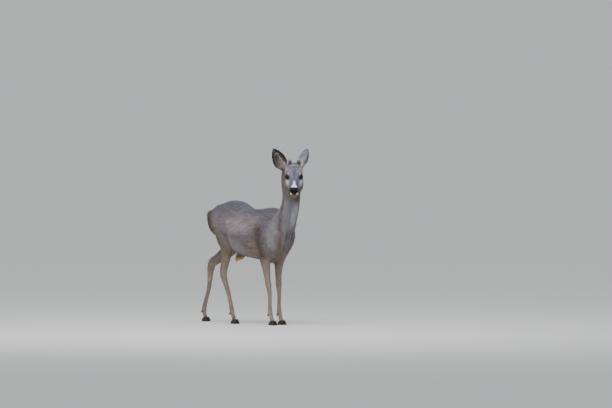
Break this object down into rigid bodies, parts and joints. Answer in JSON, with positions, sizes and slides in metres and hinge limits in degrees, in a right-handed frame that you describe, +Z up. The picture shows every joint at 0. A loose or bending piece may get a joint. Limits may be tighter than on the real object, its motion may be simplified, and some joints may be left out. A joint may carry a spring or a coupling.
{
  "type": "roe deer model",
  "caption": "Life-size still model of a young roe buck, standing mid-stride on all hooves with its head turned to look to its right.",
  "frame": {"origin": "on the floor under the middle of the whole model as seen from above", "axes": "+X forward along the trunk, +Y to the animal's left, +Z up"},
  "size_m": [1.0192, 0.2436, 1.0283],
  "materials": {
    "coat": "short dull grey-brown fur",
    "face_coat": "short fine grey fur",
    "leg_coat": "short close brown fur",
    "pale_coat": "long soft pale fur",
    "eye": "wet gloss",
    "hoof_horn": "dull horn",
    "bud_velvet": "soft velvet"
  },
  "bodies": {
    "root": {"trunk": "coat", "neck": "coat", "head": "face_coat", "ear_left": "coat", "ear_right": "coat", "tail": "pale_coat", "foreleg_left": "leg_coat", "foreleg_right": "leg_coat", "hindleg_left": "leg_coat", "hindleg_right": "leg_coat", "eye_left": "eye", "eye_right": "eye", "antler_bud_left": "bud_velvet", "antler_bud_right": "bud_velvet", "hoof_fore_left_left_toe": "hoof_horn", "hoof_fore_left_right_toe": "hoof_horn", "hoof_fore_right_left_toe": "hoof_horn", "hoof_fore_right_right_toe": "hoof_horn", "hoof_hind_left_left_toe": "hoof_horn", "hoof_hind_left_right_toe": "hoof_horn", "hoof_hind_right_left_toe": "hoof_horn", "hoof_hind_right_right_toe": "hoof_horn", "dewclaw_fore_left_left": "hoof_horn", "dewclaw_fore_left_right": "hoof_horn", "dewclaw_fore_right_left": "hoof_horn", "dewclaw_fore_right_right": "hoof_horn", "dewclaw_hind_left_left": "hoof_horn", "dewclaw_hind_left_right": "hoof_horn", "dewclaw_hind_right_left": "hoof_horn", "dewclaw_hind_right_right": "hoof_horn"}
  },
  "joints": []
}
